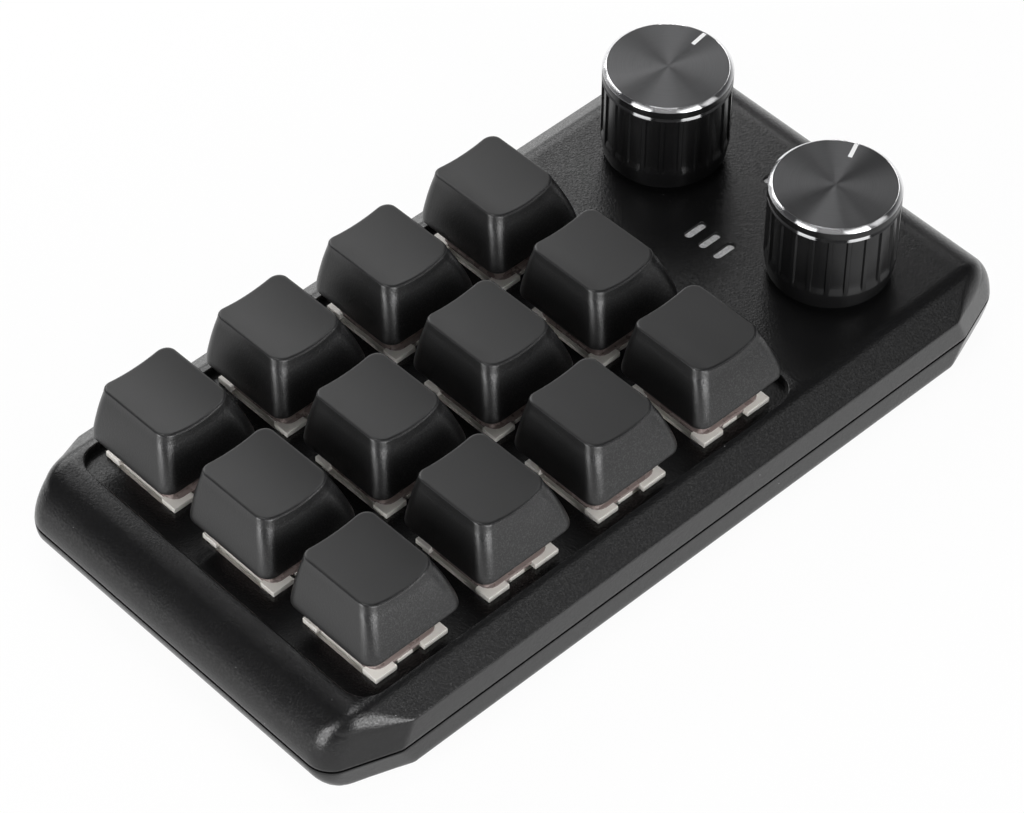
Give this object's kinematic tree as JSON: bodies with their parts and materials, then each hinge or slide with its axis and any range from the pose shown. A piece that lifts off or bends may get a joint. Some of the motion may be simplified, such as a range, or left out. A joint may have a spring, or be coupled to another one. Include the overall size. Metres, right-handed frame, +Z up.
{
  "type": "macro keypad",
  "caption": "Desk macro keypad: a grid of sculpted mechanical keys in a recessed field beside push-and-turn fluted knobs, in a low dark case with sloping edges.",
  "frame": {"origin": "on the table, under the middle of the case, at the underside of the feet", "axes": "+X along the case towards the knobs, +Y towards the back edge with the cable socket, +Z up"},
  "size_m": [0.14, 0.0736, 0.0335],
  "materials": {
    "case": "fine spark-eroded texture, near black",
    "cap": "fine texture on the sides, satin top",
    "cream": "satin moulded plastic",
    "smoke": "smoky translucent plastic",
    "stem": "low-friction moulded plastic",
    "spring": "bright spring wire",
    "contact": "gold-flashed copper alloy",
    "steel": "nickel-plated steel",
    "board": "glass-fibre board with a green solder mask",
    "chips": "moulded component bodies",
    "lens": "frosted light guide",
    "knob": "black anodised, spun top and polished chamfer",
    "insert": "glass-filled plastic",
    "rubber": "soft feet"
  },
  "bodies": {
    "case": {"top_shell": "case", "bottom_shell": "case", "circuit_board": "board", "board_parts": "chips", "usb_socket": "steel", "switch_lower_housings": "cream", "switch_upper_housings": "smoke", "switch_contacts": "contact", "indicator_lenses": "lens", "encoder_1_housing": "steel", "encoder_2_housing": "steel", "encoder_washers": "steel", "encoder_nuts": "steel", "case_screws": "steel", "rubber_feet": "rubber"},
    "key_a1": {"keycap_a1": "cap", "key_stem_a1": "stem", "key_spring_a1": "spring"},
    "key_a2": {"keycap_a2": "cap", "key_stem_a2": "stem", "key_spring_a2": "spring"},
    "key_a3": {"keycap_a3": "cap", "key_stem_a3": "stem", "key_spring_a3": "spring"},
    "key_a4": {"keycap_a4": "cap", "key_stem_a4": "stem", "key_spring_a4": "spring"},
    "key_b1": {"keycap_b1": "cap", "key_stem_b1": "stem", "key_spring_b1": "spring"},
    "key_b2": {"keycap_b2": "cap", "key_stem_b2": "stem", "key_spring_b2": "spring"},
    "key_b3": {"keycap_b3": "cap", "key_stem_b3": "stem", "key_spring_b3": "spring"},
    "key_b4": {"keycap_b4": "cap", "key_stem_b4": "stem", "key_spring_b4": "spring"},
    "key_c1": {"keycap_c1": "cap", "key_stem_c1": "stem", "key_spring_c1": "spring"},
    "key_c2": {"keycap_c2": "cap", "key_stem_c2": "stem", "key_spring_c2": "spring"},
    "key_c3": {"keycap_c3": "cap", "key_stem_c3": "stem", "key_spring_c3": "spring"},
    "key_c4": {"keycap_c4": "cap", "key_stem_c4": "stem", "key_spring_c4": "spring"},
    "plunger_1": {"encoder_1_plunger": "cream"},
    "knob_1": {"knob_1_shell": "knob", "knob_1_insert": "insert", "encoder_1_shaft": "steel"},
    "plunger_2": {"encoder_2_plunger": "cream"},
    "knob_2": {"knob_2_shell": "knob", "knob_2_insert": "insert", "encoder_2_shaft": "steel"}
  },
  "joints": [
    {"name": "key_a1_press", "type": "slide", "parent": "case", "child": "key_a1", "axis": [0, 0, -1], "range_m": [0, 0.004], "stiffness_N_per_m": 75, "springref_m": -0.004, "deforming": ["key_spring_a1"]},
    {"name": "key_a2_press", "type": "slide", "parent": "case", "child": "key_a2", "axis": [0, 0, -1], "range_m": [0, 0.004], "stiffness_N_per_m": 75, "springref_m": -0.004, "deforming": ["key_spring_a2"]},
    {"name": "key_a3_press", "type": "slide", "parent": "case", "child": "key_a3", "axis": [0, 0, -1], "range_m": [0, 0.004], "stiffness_N_per_m": 75, "springref_m": -0.004, "deforming": ["key_spring_a3"]},
    {"name": "key_a4_press", "type": "slide", "parent": "case", "child": "key_a4", "axis": [0, 0, -1], "range_m": [0, 0.004], "stiffness_N_per_m": 75, "springref_m": -0.004, "deforming": ["key_spring_a4"]},
    {"name": "key_b1_press", "type": "slide", "parent": "case", "child": "key_b1", "axis": [0, 0, -1], "range_m": [0, 0.004], "stiffness_N_per_m": 75, "springref_m": -0.004, "deforming": ["key_spring_b1"]},
    {"name": "key_b2_press", "type": "slide", "parent": "case", "child": "key_b2", "axis": [0, 0, -1], "range_m": [0, 0.004], "stiffness_N_per_m": 75, "springref_m": -0.004, "deforming": ["key_spring_b2"]},
    {"name": "key_b3_press", "type": "slide", "parent": "case", "child": "key_b3", "axis": [0, 0, -1], "range_m": [0, 0.004], "stiffness_N_per_m": 75, "springref_m": -0.004, "deforming": ["key_spring_b3"]},
    {"name": "key_b4_press", "type": "slide", "parent": "case", "child": "key_b4", "axis": [0, 0, -1], "range_m": [0, 0.004], "stiffness_N_per_m": 75, "springref_m": -0.004, "deforming": ["key_spring_b4"]},
    {"name": "key_c1_press", "type": "slide", "parent": "case", "child": "key_c1", "axis": [0, 0, -1], "range_m": [0, 0.004], "stiffness_N_per_m": 75, "springref_m": -0.004, "deforming": ["key_spring_c1"]},
    {"name": "key_c2_press", "type": "slide", "parent": "case", "child": "key_c2", "axis": [0, 0, -1], "range_m": [0, 0.004], "stiffness_N_per_m": 75, "springref_m": -0.004, "deforming": ["key_spring_c2"]},
    {"name": "key_c3_press", "type": "slide", "parent": "case", "child": "key_c3", "axis": [0, 0, -1], "range_m": [0, 0.004], "stiffness_N_per_m": 75, "springref_m": -0.004, "deforming": ["key_spring_c3"]},
    {"name": "key_c4_press", "type": "slide", "parent": "case", "child": "key_c4", "axis": [0, 0, -1], "range_m": [0, 0.004], "stiffness_N_per_m": 75, "springref_m": -0.004, "deforming": ["key_spring_c4"]},
    {"name": "knob_1_push", "type": "slide", "parent": "case", "child": "plunger_1", "axis": [0, 0, -1], "range_m": [0, 0.0005], "stiffness_N_per_m": 3000, "springref_m": -0.0005},
    {"name": "knob_1_turn", "type": "hinge", "parent": "plunger_1", "child": "knob_1", "pos_m": [0.0474, 0.018, 0.025], "axis": [0, 0, 1], "continuous": true},
    {"name": "knob_2_push", "type": "slide", "parent": "case", "child": "plunger_2", "axis": [0, 0, -1], "range_m": [0, 0.0005], "stiffness_N_per_m": 3000, "springref_m": -0.0005},
    {"name": "knob_2_turn", "type": "hinge", "parent": "plunger_2", "child": "knob_2", "pos_m": [0.0474, -0.0176, 0.025], "axis": [0, 0, 1], "continuous": true}
  ]
}
